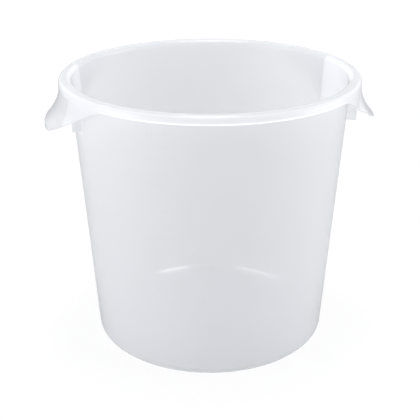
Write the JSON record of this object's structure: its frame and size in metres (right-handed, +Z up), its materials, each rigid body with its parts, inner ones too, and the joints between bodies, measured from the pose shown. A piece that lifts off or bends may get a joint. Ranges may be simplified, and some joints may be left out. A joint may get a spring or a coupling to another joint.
{
  "type": "dough proofing container",
  "caption": "Round tapered translucent tub with a rolled rim, flared grips on both sides, nesting ribs and a recessed base, for proofing dough and storing food.",
  "frame": {"origin": "middle of the resting plane under the base", "axes": "+Z up through the mouth, X through both grips, Y across them"},
  "size_m": [0.364, 0.33, 0.307],
  "materials": {
    "translucent_plastic": "moulded translucent polypropylene, smooth satin gloss"
  },
  "bodies": {
    "root": {"floor_panel": "translucent_plastic", "base_heel": "translucent_plastic", "side_wall": "translucent_plastic", "rolled_rim": "translucent_plastic", "grip_left": "translucent_plastic", "grip_right": "translucent_plastic", "rib_left_front": "translucent_plastic", "rib_left_back": "translucent_plastic", "rib_right_front": "translucent_plastic", "rib_right_back": "translucent_plastic"}
  },
  "joints": []
}
